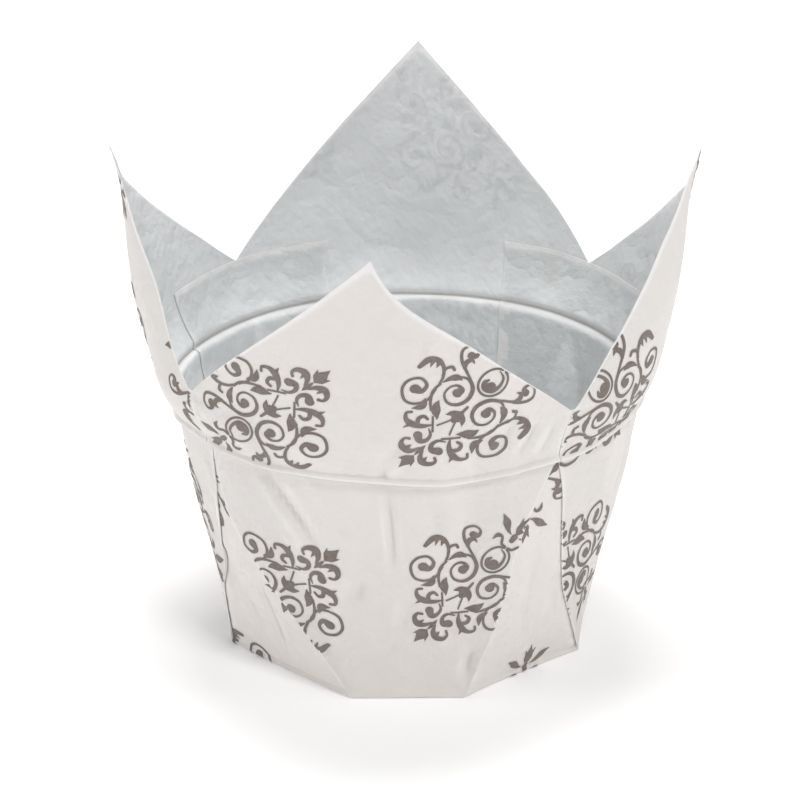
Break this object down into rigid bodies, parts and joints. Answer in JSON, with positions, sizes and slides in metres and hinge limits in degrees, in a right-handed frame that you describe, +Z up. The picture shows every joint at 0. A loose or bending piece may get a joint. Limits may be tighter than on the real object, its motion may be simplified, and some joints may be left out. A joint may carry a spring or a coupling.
{
  "type": "paper baking mold",
  "caption": "Tulip paper baking mold: a square greaseproof sheet pressed into a pleated, flared cup with pointed standing tips.",
  "frame": {"origin": "middle of the underside, on the surface that the mold stands on", "axes": "+Z up the cup towards the tips, -Y towards the front panel, +X to its right"},
  "size_m": [0.0946, 0.0943, 0.0829],
  "materials": {
    "printed_paper": "semi-matt white greaseproof paper with a warm grey scroll print outside"
  },
  "bodies": {
    "root": {"folded_sheet": "printed_paper"}
  },
  "joints": []
}
